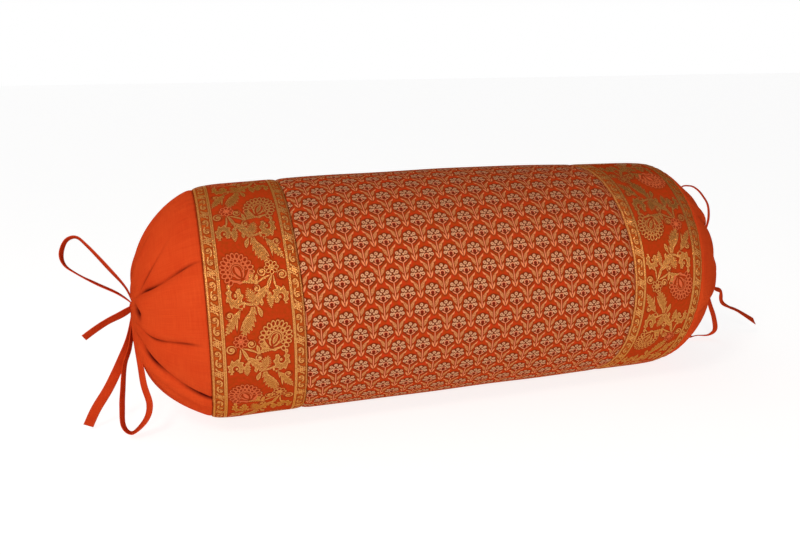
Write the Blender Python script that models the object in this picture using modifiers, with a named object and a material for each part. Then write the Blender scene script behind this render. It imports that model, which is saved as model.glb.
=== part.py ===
"""Bolster cover of woven brocade, filled and lying on its side.

A middle panel and two borders are sewn into one barrel. A plain cloth at each end is drawn in to its middle by a
flat tie, which is knotted there in a bow with two loops and two free ends. Each cloth is the filled length that it
covers, so the pieces meet along the seams with a narrow gap.

Metres. +X runs along the bolster, -Y is its front and +Z is up. The origin is on the floor, under the middle of the
filled body. Angles round the bolster are measured from the top towards the front.
"""
import bmesh
import bpy
import numpy as np

# Driving dimensions
RADIUS = 0.121          # of the filled barrel at its middle
CROWN = 0.0213          # share of the radius that is lost a quarter of a metre from the middle
CROWN_AT = 0.25
PRESSED = 0.0025        # how far the floor presses the underside in, which leaves a flat strip
GAP = 0.0003            # between pieces that meet
END_DEPTH = 0.0664      # of a drawn end, from its seam to its middle
SHOULDER_RUN = 0.030    # length over which a border turns in towards its outer seam
SEAM_DIP = 0.0008       # how far a seam is drawn into the filling
SEAM_RUN = 0.005        # half the width of that dip
PIT_DEPTH = 0.007       # of the hollow in the middle of a drawn end
PIT_RADIUS = 0.014
KNOT_RISE = 0.005       # the hem is drawn together this far above the middle of the end
TIE_WIDTH = 0.010
TIE_THICK = 0.0012
TIE_PINCH = 0.40        # share of a tie's width that is left inside its knot
PINCH_RUN = 0.020       # length over which a tie opens out to its full width
KNOT_SIZE = (0.0045, 0.0060, 0.0070)

# Seams: place along the bolster, and how far each leans per metre forwards and upwards
SEAMS = {
    "outer_left": (-0.2555, 0.000, 0.000),
    "inner_left": (-0.1683, 0.000, -0.024),
    "inner_right": (0.1683, 0.050, -0.021),
    "outer_right": (0.2555, 0.000, 0.037),
}

# Barrel pieces: left seam, right seam, number of lengths between them
BARREL = {
    "border_left": ("outer_left", "inner_left", 3),
    "panel": ("inner_left", "inner_right", 6),
    "border_right": ("inner_right", "outer_right", 3),
}

# Ends: seam, side, fullness of the face (mean, change towards the top), fullness of the rim (mean, change), and how
# far the border's shoulder turns in
ENDS = {
    "end_left": ("outer_left", -1.0, (3.20, -0.52), (1.15, 0.18), 0.0022),
    "end_right": ("outer_right", 1.0, (2.60, 0.08), (1.21, -0.22), 0.0010),
}

# Gathers of each end: angle at the knot, angle near the seam, reach as a share of the radius, depth mm, half-width mm
GATHERS = {
    "end_left": (
        (20, 12, 0.72, 2.2, 7.0),
        (60, 40, 0.78, 2.2, 5.5),
        (72, 54, 1.00, 5.0, 5.5),
        (86, 92, 1.00, 5.0, 6.0),
        (95, 121, 1.00, 4.0, 5.5),
        (135, 146, 0.85, 3.5, 7.0),
        (170, 176, 0.80, 3.0, 7.5),
        (205, 208, 0.92, 4.5, 7.0),
        (238, 244, 0.80, 3.5, 7.5),
        (270, 268, 0.96, 5.0, 6.5),
        (300, 305, 0.85, 3.5, 7.5),
        (332, 340, 0.84, 3.2, 6.5),
    ),
    "end_right": (
        (12, 18, 0.86, 4.0, 7.0),
        (42, 50, 0.92, 4.5, 6.5),
        (75, 70, 0.78, 3.0, 7.5),
        (98, 104, 0.96, 5.0, 6.0),
        (130, 126, 0.82, 3.5, 7.0),
        (165, 158, 0.88, 3.5, 7.5),
        (196, 202, 0.80, 3.0, 7.5),
        (228, 222, 0.95, 4.8, 6.5),
        (262, 266, 0.84, 3.6, 7.5),
        (290, 300, 0.97, 5.0, 6.0),
        (325, 330, 0.85, 4.0, 7.0),
    ),
}

GATHER_START = 0.30     # share of the radius at which a gather is at its full depth
GATHER_FADE = 0.28      # share of the radius over which it fades out at its reach

# Radii of the rings round a drawn end, as shares of its rim, and how many steps go round each kind of piece
END_RINGS = (1.0, 0.965, 0.90, 0.81, 0.71, 0.60, 0.49, 0.38, 0.28, 0.19, 0.11, 0.05)
END_STEPS = 96
BARREL_STEPS = 72
MERGE = 0.00005         # points of a turned mesh that are closer than this are one
SHARP_ANGLE = 50.0      # edges sharper than this, in degrees, are not shaded smooth

# Each bow's flat is measured from this direction, which runs away from whoever looks at the bow
BACK = {"tie_left": (-0.06, 0.94, -0.33), "tie_right": (0.60, 0.75, -0.27)}
KNOTS = {"tie_left": (-322.5, -5.0, 121.0), "tie_right": (323.5, 0.0, 121.0)}

# Routes of the ties in millimetres: x, y, z and how far the tape is turned edge-on, in degrees
STRANDS = {
    "tie_left": {
        "loop_high": (
            (-323.0, -2.0, 123.5, 88),
            (-327.5, -1.0, 139.5, 86),
            (-340.0, 2.0, 158.5, 84),
            (-358.0, 6.0, 182.0, 84),
            (-367.0, 6.0, 191.0, 82),
            (-376.0, 4.0, 188.5, 76),
            (-381.0, 0.0, 177.0, 70),
            (-378.5, -4.0, 167.0, 78),
            (-368.5, -6.0, 158.0, 84),
            (-351.5, -7.0, 146.5, 84),
            (-334.5, -7.0, 135.5, 86),
            (-323.0, -8.0, 124.0, 88),
        ),
        "end_high": (
            (-322.5, -5.0, 120.5, 80),
            (-333.5, -9.0, 115.0, 60),
            (-345.0, -13.0, 110.0, 55),
            (-356.5, -17.0, 104.5, 54),
            (-368.0, -20.0, 97.5, 54),
        ),
        "end_low": (
            (-322.5, -5.5, 117.0, 75),
            (-328.0, -11.0, 90.5, 45),
            (-337.0, -14.0, 67.0, 25),
            (-350.5, -18.0, 42.5, 15),
            (-364.5, -21.0, 22.5, 10),
            (-373.5, -22.5, 6.0, 10),
        ),
        "loop_low": (
            (-323.5, -9.0, 117.0, 80),
            (-328.0, -20.0, 85.5, 72),
            (-333.0, -30.0, 69.0, 66),
            (-336.5, -40.0, 47.5, 62),
            (-338.5, -45.0, 32.0, 60),
            (-339.0, -49.0, 14.0, 66),
            (-331.5, -51.0, 6.0, 80),
            (-318.0, -53.5, 19.0, 66),
            (-313.0, -55.0, 35.5, 56),
            (-316.5, -53.0, 55.5, 56),
            (-319.5, -50.0, 75.5, 62),
            (-322.5, -42.0, 94.0, 72),
            (-323.5, -25.0, 110.0, 80),
            (-324.0, -8.0, 121.0, 85),
        ),
    },
    "tie_right": {
        "loop_high": (
            (323.5, 2.0, 123.0, 88),
            (329.0, 16.0, 150.0, 88),
            (327.5, 29.0, 178.0, 86),
            (325.0, 29.0, 197.5, 86),
            (330.0, 19.5, 201.5, 86),
            (335.0, 12.5, 198.5, 86),
            (340.0, 6.5, 191.0, 86),
            (345.0, 1.5, 179.5, 86),
            (345.0, -1.5, 161.5, 86),
            (337.0, -3.0, 141.0, 88),
            (324.5, -3.0, 124.0, 88),
        ),
        "end_high": (
            (324.0, -1.0, 120.0, 84),
            (334.0, -10.0, 111.0, 80),
            (345.0, -19.0, 92.0, 76),
            (352.0, -19.5, 81.5, 72),
            (362.0, -17.0, 75.0, 66),
            (371.0, -12.0, 60.0, 64),
            (383.0, -10.0, 51.5, 78),
            (402.0, -6.0, 42.0, 74),
            (440.0, 6.5, 20.0, 60),
        ),
        "end_low": (
            (323.5, 3.0, 117.5, 84),
            (330.0, 12.0, 90.0, 60),
            (328.0, 18.0, 60.0, 45),
            (324.0, 22.0, 30.0, 40),
            (322.0, 26.0, 6.5, 35),
        ),
        "loop_low": (
            (324.5, -3.0, 117.0, 84),
            (341.0, -12.0, 84.0, 70),
            (360.0, -5.5, 52.5, 62),
            (373.0, 1.5, 33.0, 58),
            (381.5, 8.0, 14.5, 58),
            (378.0, 14.0, 5.5, 76),
            (365.0, 18.0, 4.5, 86),
            (350.0, 19.0, 5.5, 86),
            (340.0, 14.0, 26.0, 80),
            (335.0, 6.0, 66.0, 80),
            (325.0, 1.0, 118.0, 84),
        ),
    },
}
ROUTE_STEPS = 3         # lengths of tape between two points of a route

# Finishes: colour, roughness, metallic value
FINISHES = {
    "panel": ("flowered_brocade", (0.50, 0.12, 0.05), 0.55, 0.15),
    "border_left": ("border_brocade", (0.52, 0.17, 0.05), 0.50, 0.25),
    "border_right": ("border_brocade_right", (0.50, 0.16, 0.05), 0.50, 0.25),
    "end_left": ("plain_cloth", (0.68, 0.10, 0.02), 0.75, 0.0),
    "end_right": ("plain_cloth_right", (0.60, 0.08, 0.02), 0.75, 0.0),
    "tie_left": ("tie_cloth", (0.60, 0.08, 0.02), 0.75, 0.0),
    "tie_right": ("tie_cloth_right", (0.45, 0.05, 0.02), 0.75, 0.0),
}
MM = 0.001


def ease(value):
    """Smooth step from 0 to 1."""
    share = np.clip(value, 0.0, 1.0)
    return share * share * (3.0 - 2.0 * share)


def crowned_radius(along):
    """Radius at a place along the bolster with its crown alone, which sets how high its middle lies."""
    return RADIUS * (1.0 - CROWN * (along / CROWN_AT) ** 2)


def barrel_radius(along):
    """Radius at a place along the bolster: the crown, shoulders at the ends, and a dip at each seam."""
    radius = crowned_radius(along)
    for seam, side, _face, _rim, shoulder in ENDS.values():
        past = (side * (along - SEAMS[seam][0]) + SHOULDER_RUN) / SHOULDER_RUN
        radius = radius - shoulder * np.maximum(past, 0.0) ** 2
    for station, _forwards, _upwards in SEAMS.values():
        radius = radius - SEAM_DIP * np.exp(-(((along - station) / SEAM_RUN) ** 2))
    return radius


def seam_offset(seam, forward, high):
    """How far a leaning seam is moved along the bolster at a point this far forward of and above its middle."""
    _station, forwards, upwards = SEAMS[seam]
    return forwards * forward + upwards * high


def turned(name, profile, steps):
    """Turn a profile of (radius, height) pairs about Z into a closed mesh. It runs down the outer side."""
    mesh = bpy.data.meshes.new(name + "_profile")
    points = [(radius, 0.0, height) for radius, height in profile]
    mesh.from_pydata(points, [(k, k + 1) for k in range(len(points) - 1)], [])
    guide = bpy.data.objects.new(name + "_profile", mesh)
    bpy.context.scene.collection.objects.link(guide)
    screw = guide.modifiers.new("Turn", "SCREW")
    screw.steps = steps
    screw.render_steps = steps
    screw.use_merge_vertices = True
    screw.merge_threshold = MERGE
    bpy.context.view_layer.update()
    evaluated = guide.evaluated_get(bpy.context.evaluated_depsgraph_get())
    body = bpy.data.meshes.new_from_object(evaluated)
    body.name = name
    bpy.data.objects.remove(guide)
    return body


def read_turned(mesh):
    """The share of the radius, the angle from the top and the height of every vertex of a turned mesh."""
    flat = np.empty(len(mesh.vertices) * 3)
    mesh.vertices.foreach_get("co", flat)
    points = flat.reshape(-1, 3).astype(float)
    return np.hypot(points[:, 0], points[:, 1]), np.arctan2(points[:, 1], points[:, 0]), points[:, 2]


def write_points(mesh, along, forward, height):
    """Put every vertex at its place. Nothing goes below the floor."""
    points = np.stack([along, -forward, np.maximum(height, 0.0)], axis=-1)
    mesh.vertices.foreach_set("co", points.astype(np.float32).ravel())
    mesh.update()


def barrel_piece(name):
    """A length of the barrel between two leaning seams, closed by a flat face at each."""
    left, right, lengths = BARREL[name]
    span = SEAMS[right][0] - SEAMS[left][0]
    near_seam = SEAM_RUN / span
    inside = np.linspace(2.0 * near_seam, 1.0 - 2.0 * near_seam, lengths + 1)
    shares = [1.0, 1.0 - near_seam, *inside[::-1], near_seam, 0.0]
    mesh = turned(name, [(0.0, 1.0), *[(1.0, share) for share in shares], (0.0, 0.0)], BARREL_STEPS)
    share, angle, height = read_turned(mesh)
    along = SEAMS[left][0] + span * height
    radius = barrel_radius(along)
    middle = crowned_radius(along) - PRESSED
    forward = share * radius * np.sin(angle)
    up = np.maximum(share * radius * np.cos(angle), -middle)
    lean_left = seam_offset(left, forward, up) + 0.5 * GAP
    lean_right = seam_offset(right, forward, up) - 0.5 * GAP
    write_points(mesh, along + lean_left * (1.0 - height) + lean_right * height, forward, middle + up)
    return mesh


def gather_depth(name, share, angle, rim):
    """How far the cloth is drawn in at a point of an end: one soft trough for each gather.

    A trough follows an angle that shifts from the knot to the seam, its section is a bell curve of the distance
    from that line, and it fades out at the hollow round the knot and at its own reach.
    """
    depth = np.zeros_like(share)
    for at_knot, at_seam, reach, deep, wide in GATHERS[name]:
        line = np.radians(at_knot + (at_seam - at_knot) * share)
        turn = (angle - line + np.pi) % (2.0 * np.pi) - np.pi
        away = turn * share * rim / (wide * MM)
        fade = ease(share / GATHER_START) * ease((reach - share) / GATHER_FADE)
        depth += deep * MM * fade * np.exp(-(away**2))
    return depth


def drawn_end(name):
    """An end, settled from a turned cone that stands on its seam.

    Its face falls from the middle to the seam as depth * (1 - share^face)^(1/rim). The hem is drawn in to a hollow
    round the knot, and the gathers draw the cloth in towards the middle of the seam's plane.
    """
    seam, side, face, rim_fullness, _shoulder = ENDS[name]
    cone = [(share, 1.0 + side * (1.0 - share)) for share in (*END_RINGS, 0.0)]
    profile = [*cone[::-1], (0.0, 1.0)] if side > 0 else [(0.0, 1.0), *cone]
    mesh = turned(name, profile, END_STEPS)
    share, angle, height = read_turned(mesh)
    station = SEAMS[seam][0]
    rim = barrel_radius(station)
    middle = crowned_radius(station) - PRESSED
    face_power = face[0] + face[1] * np.cos(angle)
    rim_power = np.maximum(rim_fullness[0] + rim_fullness[1] * np.cos(angle), 1.0)
    depth = END_DEPTH * np.maximum(1.0 - share**face_power, 0.0) ** (1.0 / rim_power)
    depth -= PIT_DEPTH * np.exp(-((share * rim / PIT_RADIUS) ** 2))
    on_cap = (height == 1.0) & (share < END_RINGS[-1])
    depth[on_cap] = 0.0
    forward = share * rim * np.sin(angle)
    up = share * rim * np.cos(angle) + np.where(on_cap, 0.0, KNOT_RISE * (1.0 - share) ** 2)
    from_middle = np.maximum(np.sqrt(depth**2 + forward**2 + up**2), MM)
    drawn = np.where(on_cap, 0.0, gather_depth(name, share, angle, rim)) / from_middle
    forward = forward * (1.0 - drawn)
    up = np.maximum(up * (1.0 - drawn), -middle)
    along = station + side * (depth * (1.0 - drawn) + 0.5 * GAP) + seam_offset(seam, forward, up)
    write_points(mesh, along, forward, middle + up)
    return mesh


def smooth_route(rows):
    """Points on a Catmull-Rom curve through the rows of a route, ROUTE_STEPS to each length."""
    rows = np.array(rows, dtype=float)
    padded = np.vstack([2.0 * rows[0] - rows[1], rows, 2.0 * rows[-1] - rows[-2]])
    lengths = []
    for share in np.arange(ROUTE_STEPS) / ROUTE_STEPS:
        a, b, c, d = padded[:-3], padded[1:-2], padded[2:-1], padded[3:]
        curve = 2.0 * b + (c - a) * share + (2.0 * a - 5.0 * b + 4.0 * c - d) * share**2
        lengths.append(0.5 * (curve + (3.0 * b - a - 3.0 * c + d) * share**3))
    route = np.stack(lengths, axis=1).reshape(-1, rows.shape[1])
    return np.vstack([route, rows[-1]])


def strand(name, rows, back, ends_in_knot):
    """A strip of tape along a route: an open strip across the tape's width, given its thickness by Solidify."""
    route = smooth_route(rows)
    places, turns = route[:, :3] * MM, np.radians(route[:, 3:])
    ahead = np.gradient(places, axis=0)
    ahead /= np.linalg.norm(ahead, axis=1, keepdims=True)
    across = np.cross(ahead, back)
    across /= np.linalg.norm(across, axis=1, keepdims=True)
    inwards = np.cross(across, ahead)
    width = np.cos(turns) * across + np.sin(turns) * inwards
    run = np.concatenate([[0.0], np.cumsum(np.linalg.norm(np.diff(places, axis=0), axis=1))])
    from_knot = np.minimum(run, run[-1] - run) if ends_in_knot else run
    half = 0.5 * TIE_WIDTH * (TIE_PINCH + (1.0 - TIE_PINCH) * ease(from_knot / PINCH_RUN))[:, None]
    points = np.stack([places - width * half, places + width * half], axis=1).reshape(-1, 3)
    count = len(places)
    faces = [(2 * k, 2 * k + 1, 2 * k + 3, 2 * k + 2) for k in range(count - 1)]
    mesh = bpy.data.meshes.new(name)
    mesh.from_pydata(points.tolist(), [], faces)
    piece = bpy.data.objects.new(name, mesh)
    solid = piece.modifiers.new("Thickness", "SOLIDIFY")
    solid.thickness = TIE_THICK
    solid.offset = 0.0
    piece.hide_render = True
    piece.display_type = "WIRE"
    return piece


def knot_mesh(name):
    """The knot of a bow: a small rounded lump where its four strands meet."""
    lump = bmesh.new()
    bmesh.ops.create_uvsphere(lump, u_segments=12, v_segments=8, radius=1.0)
    centre = [value * MM for value in KNOTS[name]]
    for vertex in lump.verts:
        vertex.co = [middle + size * value for middle, size, value in zip(centre, KNOT_SIZE, vertex.co)]
    mesh = bpy.data.meshes.new(name)
    lump.to_mesh(mesh)
    lump.free()
    return mesh


def bow(name, piece, guides):
    """Join the strands of a tie to its knot, so that the tie is one solid."""
    for label, rows in STRANDS[name].items():
        tape = strand(name + "_" + label, rows, np.array(BACK[name]), label.startswith("loop"))
        guides.objects.link(tape)
        join = piece.modifiers.new("Join " + label, "BOOLEAN")
        join.operation = "UNION"
        join.use_self = True
        join.object = tape


def finish(name):
    """The material of one piece."""
    label, colour, roughness, metallic = FINISHES[name]
    material = bpy.data.materials.new(label)
    material.use_nodes = True
    shader = material.node_tree.nodes["Principled BSDF"]
    shader.inputs["Base Color"].default_value = (*colour, 1.0)
    shader.inputs["Roughness"].default_value = roughness
    shader.inputs["Metallic"].default_value = metallic
    return material


def add_piece(name, mesh, collection):
    """One named object in the bolster's collection, shaded smooth but for its seams."""
    mesh.name = name
    mesh.shade_smooth()
    mesh.set_sharp_from_angle(angle=np.radians(SHARP_ANGLE))
    mesh.materials.clear()
    mesh.materials.append(finish(name))
    piece = bpy.data.objects.new(name, mesh)
    collection.objects.link(piece)
    return piece


def main():
    for old in list(bpy.data.objects):
        bpy.data.objects.remove(old)
    bolster = bpy.data.collections.new("bolster_cover")
    guides = bpy.data.collections.new("tie_guides")
    bpy.context.scene.collection.children.link(bolster)
    bpy.context.scene.collection.children.link(guides)
    for name in BARREL:
        add_piece(name, barrel_piece(name), bolster)
    for name in ENDS:
        add_piece(name, drawn_end(name), bolster)
    for name in KNOTS:
        bow(name, add_piece(name, knot_mesh(name), bolster), guides)


main()
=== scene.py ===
"""Looks of a bolster cover of woven brocade, filled and lying on its side.

The barrel is a middle panel between two borders. A plain cloth at each end is gathered to a flat tape, which
is tied there in a bow. Metres. +X runs along the bolster, -Y is its front and +Z is up. Angles round the
bolster are measured from the top towards the front.
"""
from functools import partialmethod, reduce

import bpy
import numpy as np
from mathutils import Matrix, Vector


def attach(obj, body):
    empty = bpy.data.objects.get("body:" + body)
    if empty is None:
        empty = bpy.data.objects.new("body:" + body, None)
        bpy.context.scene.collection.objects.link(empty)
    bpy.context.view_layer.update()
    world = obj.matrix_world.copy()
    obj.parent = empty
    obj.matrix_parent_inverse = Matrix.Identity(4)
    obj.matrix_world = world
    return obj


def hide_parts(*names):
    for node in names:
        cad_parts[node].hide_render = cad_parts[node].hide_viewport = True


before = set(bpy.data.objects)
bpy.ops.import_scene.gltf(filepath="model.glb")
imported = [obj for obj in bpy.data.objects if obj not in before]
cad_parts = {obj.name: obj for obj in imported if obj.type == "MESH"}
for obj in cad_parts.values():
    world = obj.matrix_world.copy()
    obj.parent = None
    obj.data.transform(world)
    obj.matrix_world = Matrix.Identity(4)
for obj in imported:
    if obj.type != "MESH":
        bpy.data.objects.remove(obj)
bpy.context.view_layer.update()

MM = 0.001
TAU = 2.0 * np.pi

# The bolster, with the sizes of its solids
RADIUS = 0.121
CROWN_AT = 0.25          # from the middle, where the radius has lost this share
CROWN = 0.0213
PRESSED = 0.0025         # depth by which its underside is pressed flat
GAP = 0.0003             # between two pieces at a seam
END_DEPTH = 0.0664
SHOULDER_RUN = 0.030
SEAM_DIP = 0.0008
SEAM_RUN = 0.005
PIT_DEPTH = 0.0035
PIT_RADIUS = 0.009
KNOT_RISE = 0.005

# Seams: place along the bolster, and how far each leans per metre forwards and upwards
SEAMS = {
    "outer_left": (-0.2555, 0.000, 0.000),
    "inner_left": (-0.1683, 0.000, -0.024),
    "inner_right": (0.1683, 0.050, -0.021),
    "outer_right": (0.2555, 0.000, 0.037),
}

# Barrel pieces: left seam, right seam, steps along, slot
BARREL = {
    "border_left": ("outer_left", "inner_left", 90, "border_brocade"),
    "panel": ("inner_left", "inner_right", 180, "flowered_brocade"),
    "border_right": ("inner_right", "outer_right", 90, "border_brocade"),
}
ROUND_STEPS = 480

# Ends: seam, side, fullness of the face (mean, change towards the top), fullness of the rim (mean, change),
# and how far the border's shoulder turns in
ENDS = {
    "end_left": ("outer_left", -1.0, (3.15, -0.60), (1.15, 0.18), 0.0022),
    "end_right": ("outer_right", 1.0, (2.60, 0.08), (1.21, -0.22), 0.0010),
}

# Gathers of each end: angles at the knot, midway and at the seam, from which share of the radius to which,
# depth mm, half-width mm, and the side on which they are steep, 1 away from the top and -1 towards it
GATHERS = {
    "end_left": (
        (20, 17, 12, 0.1, 0.77, 2.2, 7.0, 1),
        (60, 47, 22, 0.4, 0.9, 3.0, 4.5, 1),
        (60, 59, 53.5, 0.35, 1.02, 6.5, 6.5, 1),
        (80, 93.5, 92, 0.35, 1.0, 6.0, 6.0, -1),
        (95, 115.5, 125, 0.3, 1.08, 6.0, 6.5, 1),
        (135, 140, 146, 0.1, 0.9, 3.5, 7.0, -1),
        (170, 177, 176, 0.1, 0.85, 3.0, 7.5, 1),
        (205, 204, 208, 0.1, 0.97, 4.5, 7.0, -1),
        (238, 245, 244, 0.1, 0.85, 3.5, 7.5, 1),
        (270, 266, 268, 0.1, 1.0, 5.0, 6.5, -1),
        (300, 306, 305, 0.1, 0.9, 3.5, 7.5, 1),
        (332, 335, 340, 0.1, 0.89, 3.2, 6.5, -1),
    ),
    "end_right": (
        (12, 19, 18, 0.1, 0.91, 4.0, 7.0, 1),
        (42, 45, 50, 0.1, 0.97, 4.5, 6.5, -1),
        (75, 74, 70, 0.1, 0.83, 3.0, 7.5, 1),
        (98, 99, 104, 0.1, 1.0, 5.0, 6.0, -1),
        (130, 130, 126, 0.1, 0.87, 3.5, 7.0, 1),
        (165, 157, 158, 0.1, 0.93, 3.5, 7.5, -1),
        (196, 203, 202, 0.1, 0.85, 3.0, 7.5, 1),
        (228, 221, 222, 0.1, 1.0, 4.8, 6.5, -1),
        (262, 268, 266, 0.1, 0.89, 3.6, 7.5, 1),
        (290, 294, 300, 0.1, 1.0, 5.0, 6.0, -1),
        (325, 332, 330, 0.1, 0.9, 4.0, 7.0, 1),
    ),
}
MIDWAY = 0.7             # share of the radius
GATHER_START = 0.25
GATHER_FADE = 0.12

# Ties. Each bow's flat is measured from the direction that runs away from whoever looks at the bow
TIE_WIDTH = 0.010
TIE_THICK = 0.0012
TIE_PINCH = 0.80
PINCH_RUN = 0.012
BACK = {"tie_left": (-0.06, 0.94, -0.33), "tie_right": (0.60, 0.75, -0.27)}
KNOTS = {"tie_left": (-319.8, -5.5, 120.0), "tie_right": (323.5, 0.0, 121.0)}

# Tapes of each bow and their lengths in metres. Each is one loop and the free end that leads on from it
TAPES = {
    "tie_left": (("upper", 0.32), ("lower", 0.33)),
    "tie_right": (("upper", 0.31), ("lower", 0.45)),
}

# Routes of the tapes in millimetres: x, y, z and how far the tape is turned edge-on, in degrees
ROUTES = {
    "tie_left_upper": (
        (-320.5, -2, 122.5, 88),
        (-326.5, -1, 139.5, 84),
        (-340, 2, 158.5, 76),
        (-358, 6, 182, 80),
        (-367, 6, 191, 82),
        (-376, 4, 188.5, 76),
        (-381, 0, 177, 70),
        (-378.5, -4, 167, 78),
        (-368.5, -6, 158, 84),
        (-351.5, -7, 146.5, 76),
        (-333.5, -7, 135, 78),
        (-320.5, -8, 123, 88),
        (-320.5, -6, 117, 70),
        (-326.5, -11.5, 90.5, 42),
        (-337, -14, 67, 25),
        (-350.5, -18, 42.5, 15),
        (-364.5, -21, 22.5, 10),
        (-373.5, -22.5, 6, 10),
    ),
    "tie_left_lower": (
        (-321.5, -9, 117, 78),
        (-326.5, -20, 85.5, 70),
        (-333, -30, 69, 66),
        (-336.5, -40, 47.5, 62),
        (-338.5, -45, 32, 60),
        (-339, -49, 14, 66),
        (-331.5, -51, 6, 80),
        (-318, -53.5, 19, 66),
        (-313, -55, 35.5, 56),
        (-316.5, -53, 55.5, 56),
        (-318, -50, 75.5, 60),
        (-320, -42, 94, 68),
        (-321.6, -25, 110, 74),
        (-321.6, -8, 121, 78),
        (-319, -6, 121, 56),
        (-331, -9.5, 115.2, 50),
        (-345, -13, 110, 55),
        (-356.5, -17, 104.5, 54),
        (-368, -20, 97.5, 54),
    ),
    "tie_right_upper": (
        (323.5, 2, 123, 88),
        (329, 16, 150, 88),
        (327.5, 29, 178, 79),
        (325, 29, 197.5, 79),
        (330, 19.5, 201.5, 79),
        (335, 12.5, 198.5, 79),
        (340, 6.5, 191, 79),
        (345, 1.5, 179.5, 79),
        (345, -1.5, 161.5, 79),
        (337, -3, 141, 88),
        (324.5, -3, 124, 88),
        (323.5, 3, 117.5, 84),
        (330, 12, 90, 60),
        (328, 18, 60, 45),
        (324, 22, 30, 40),
        (322, 26, 6.5, 35),
    ),
    "tie_right_lower": (
        (324.5, -3, 117, 84),
        (341, -12, 84, 70),
        (360, -5.5, 52.5, 62),
        (373, 1.5, 33, 58),
        (381.5, 8, 14.5, 58),
        (378, 14, 5.5, 76),
        (365, 18, 4.5, 86),
        (350, 19, 5.5, 86),
        (340, 14, 26, 80),
        (335, 6, 66, 80),
        (325, 1, 118, 84),
        (324, -1, 120, 84),
        (334, -10, 111, 80),
        (345, -19, 92, 76),
        (352, -19.5, 81.5, 72),
        (362, -17, 75, 66),
        (371, -12, 60, 64),
        (383, -10, 51.5, 78),
        (402, -6, 42, 74),
        (440, 6.5, 20, 60),
    ),
}

TAPE_STEPS = 14          # lengths of tape between two points of a route
TAPE_CUP = 0.0004        # how far the middle of a tape stands out from its edges
CUP_RUN = 0.021          # the cup changes sides over about three of these
KNOT_BAND = 0.0030       # half the width of the tape's turns in a knot
KNOT_STEPS = 40
STITCH_PITCH = 2.6       # in millimetres
STITCH_AT = 0.80         # of half the width, where a line of stitches draws in the tape by this share
STITCH_DIP = 0.30
STITCH_WIDE = 0.05
# Points across half a tape
TAPE_EDGE = (0.0, 0.30, 0.58, 0.76, 0.84, 0.92, 0.97, 1.0)
# Turns of tape in a knot: name, lean and size
KNOT_TURNS = (("over", 0.55, 0.0047), ("under", -0.80, 0.0044))

# Fine form of the cloth
JOIN_AT = 215.0          # angle of the lengthwise seam, on the underside at the back
# Steps from a seam along a barrel piece, rings of its flat face as shares of the radius, and steps from a
# seam over an end's face
SEAM_STEPS = (0.0004, 0.0005, 0.0006, 0.0008, 0.0010, 0.0013, 0.0016)
FACE_RINGS = (0.985, 0.92, 0.5)
RIM_STEPS = (0.003, 0.004, 0.005, 0.006, 0.007)
END_RINGS = 100
END_ROUND = 840
HEM_SHARE = 0.022        # of the radius, where the drawn hem closes
PUCKERS = 71.0           # ripples round each seam
PUCKER_DEPTH = 0.00022
PUCKER_RUN = 0.006
STITCH_DEPTH = 0.0011    # of the crease at a seam
STITCH_RUN = 0.0009
UNEVEN = 0.00022         # height of the filling's waves
PULLING_REACH = 0.95     # gathers that reach this far draw in the border past the seam
PULL_SHARE = 0.16
PULL_WIDTH = 0.005
PULL_RUN = 0.010
STEEP_SIDE = 1.2         # width of a gather's two sides, as shares of its half-width
EASY_SIDE = 4.6
ROLL = 0.35              # roll of the cloth beside a gather's steep side, as a share of its depth
ROLL_AT = 1.6            # half-widths from the gather's line
WAVER = 0.7              # degrees by which a gather's line sways
WAVER_RATE = 14.0
# Painted shade at the bottom of a gather
CREASE_WIDTH = 0.0035    # of the shaded line at the bottom of a gather
CREASE_DEEP = 5.0        # depth in millimetres from which it is darkest
CREASE_SPOT = 0.66       # share of the radius where it is darkest
CREASE_RATE = 19.0
# Slit that the tape comes out of: share of the radius, angle and lean, then its half length, half width and
# depth
MOUTH_AT = (0.480, 75.5, 34.0)
MOUTH_SIZE = (0.0082, 0.0036, 0.0060)
# Pleats round the knot: how many, how deep, at which share of the radius, and their spread out and in
PLEATS = 27.0
PLEAT_DEPTH = 0.0009
PLEAT_AT = 0.13
PLEAT_OUT = 0.20
PLEAT_IN = 0.06

# Vine of the borders, in millimetres from the outer seam and from a gold flower
BORDER_WIDTH = 87.2
FIELD_MIDDLE = 44.0
FIELD_HALF = 30.3
HALF_REPEAT = 65.75
CELL_TOP = 31.2
GUARD_REPEAT = 32.9
GUARD_HALF = 4.0
GUARDS = ((6.7, 0.0), (81.0, -5.0))
GOLD_LINES = ((12.0, 1.35), (76.1, 1.1))
BEADED_LINES = ((1.6, 0.8), (86.0, 0.7))
BEAD_PITCH = 1.6
TWILL_PITCH = 1.9
THREAD = 0.55
ARC_LEFT = 191.7         # arcs from the top to a gold flower
ARC_RIGHT = 113.5

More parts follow.
